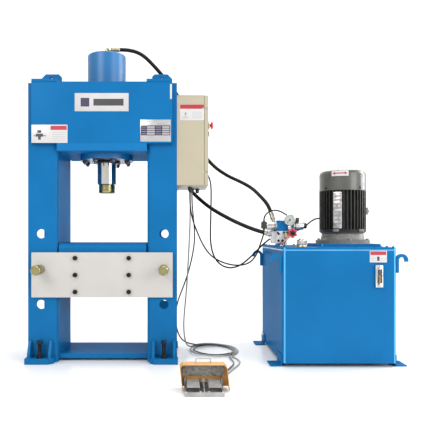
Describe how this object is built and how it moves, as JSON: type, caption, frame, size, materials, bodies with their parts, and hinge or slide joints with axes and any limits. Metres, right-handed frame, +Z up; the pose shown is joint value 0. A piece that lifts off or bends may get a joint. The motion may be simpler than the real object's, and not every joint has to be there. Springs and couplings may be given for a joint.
{
  "type": "hydraulic press",
  "caption": "Upright hydraulic shop press with a downward ram over a pinned table, a side control box, a foot switch, and a separate oil tank with motor, valves, hoses and cables.",
  "frame": {"origin": "on the floor, at the middle of the whole machine's floor area without its hoses and cables", "axes": "+X towards the tank, +Y to the rear, +Z up"},
  "size_m": [2.005, 1.213, 1.7535],
  "materials": {
    "blue_paint": "glossy blue enamel",
    "white_paint": "satin off-white enamel",
    "beige_paint": "fine textured beige enamel",
    "guard_paint": "orange-yellow enamel",
    "dark_paint": "dark grey satin enamel",
    "yellow_zinc": "yellow passivated zinc",
    "chrome": "hard chrome, polished",
    "bright_steel": "bright zinc plated",
    "black_steel": "black oxide",
    "iron": "cast grey",
    "aluminium": "satin cast aluminium",
    "brass": "plain brass",
    "red_plastic": "glossy red",
    "green_plastic": "glossy green",
    "black_plastic": "black moulded plastic",
    "grey_plastic": "grey moulded plastic",
    "black_rubber": "black rubber",
    "grey_rubber": "grey sheathing"
  },
  "bodies": {
    "frame": {"left_column": "blue_paint", "right_column": "blue_paint", "head_front_plate": "blue_paint", "head_rear_plate": "blue_paint", "head_floor": "blue_paint", "lifting_lugs": "blue_paint", "bottom_rail": "blue_paint", "feet": "blue_paint", "levelling_bolts": "bright_steel", "cylinder_tube": "blue_paint", "flange_bolts": "bright_steel", "rod_gland": "black_steel", "table_bed": "blue_paint", "table_front_plate": "white_paint", "table_rear_plate": "white_paint", "table_screws": "black_steel", "control_box": "beige_paint", "switch_gear": "grey_plastic", "cable_glands": "black_plastic", "tank_shell": "blue_paint", "tank_lid": "blue_paint", "tank_feet": "blue_paint", "tank_hooks": "blue_paint", "level_gauge": "aluminium", "motor_frame": "dark_paint", "motor_shields": "iron", "fan_cover": "dark_paint", "terminal_box": "dark_paint", "pump": "iron", "manifold": "bright_steel", "directional_valve": "blue_paint", "solenoids": "bright_steel", "relief_valve": "brass", "gauge_case": "bright_steel", "hose_fittings": "bright_steel", "pedal_base": "iron", "pedal_guard": "guard_paint", "hose_to_top": "black_rubber", "hose_to_rear": "black_rubber", "valve_lead": "black_rubber", "jumper_lead": "black_rubber", "motor_cable": "black_rubber", "pedal_lead": "grey_rubber", "second_lead": "black_rubber", "cable_coil": "grey_rubber"},
    "ram": {"ram_rod": "chrome", "ram_nose": "yellow_zinc"},
    "left_pin": {"left_pin": "yellow_zinc"},
    "right_pin": {"right_pin": "yellow_zinc"},
    "door": {"control_door": "beige_paint"},
    "estop": {"estop_button": "red_plastic"},
    "start": {"start_button": "green_plastic"},
    "rotor": {"motor_shaft": "bright_steel", "motor_fan": "black_plastic"},
    "wheel": {"handwheel": "red_plastic"},
    "pointer": {"gauge_pointer": "black_plastic"},
    "left_tread": {"left_pedal": "aluminium"},
    "right_tread": {"right_pedal": "aluminium"},
    "cap": {"filler_cap": "chrome"}
  },
  "joints": [
    {"name": "ram_slide", "type": "slide", "parent": "frame", "child": "ram", "axis": [0, 0, -1], "range_m": [0, 0.25]},
    {"name": "left_pin_slide", "type": "slide", "parent": "frame", "child": "left_pin", "axis": [0, -1, 0], "range_m": [0, 0.45]},
    {"name": "right_pin_slide", "type": "slide", "parent": "frame", "child": "right_pin", "axis": [0, -1, 0], "range_m": [0, 0.45]},
    {"name": "door_hinge", "type": "hinge", "parent": "frame", "child": "door", "pos_m": [-0.0425, 0.0295, 1.19], "axis": [0, 0, 1], "range_deg": [-100, 0]},
    {"name": "estop_push", "type": "slide", "parent": "door", "child": "estop", "axis": [-1, 0, 0], "range_m": [0, 0.004]},
    {"name": "start_push", "type": "slide", "parent": "door", "child": "start", "axis": [-1, 0, 0], "range_m": [0, 0.003], "stiffness_N_per_m": 600, "springref_m": -0.002},
    {"name": "rotor_spin", "type": "hinge", "parent": "frame", "child": "rotor", "pos_m": [0.7525, 0.2285, 0.8], "axis": [0, 0, 1], "continuous": true},
    {"name": "handwheel_turn", "type": "hinge", "parent": "frame", "child": "wheel", "pos_m": [0.4175, -0.0065, 0.693], "axis": [0, -1, 0], "range_deg": [-180, 180]},
    {"name": "gauge_pointer_turn", "type": "hinge", "parent": "frame", "child": "pointer", "pos_m": [0.4105, 0.0285, 0.764], "axis": [0, 1, 0], "range_deg": [0, 270]},
    {"name": "left_pedal_press", "type": "hinge", "parent": "frame", "child": "left_tread", "pos_m": [-0.1265, -0.4815, 0.033], "axis": [1, 0, 0], "range_deg": [0, 6], "stiffness_Nm_per_rad": 12, "springref_deg": -5.73},
    {"name": "right_pedal_press", "type": "hinge", "parent": "frame", "child": "right_tread", "pos_m": [-0.0325, -0.4815, 0.033], "axis": [1, 0, 0], "range_deg": [0, 6], "stiffness_Nm_per_rad": 12, "springref_deg": -5.73},
    {"name": "filler_cap_lift", "type": "slide", "parent": "frame", "child": "cap", "axis": [0, 0, 1], "range_m": [0, 0.06]}
  ]
}
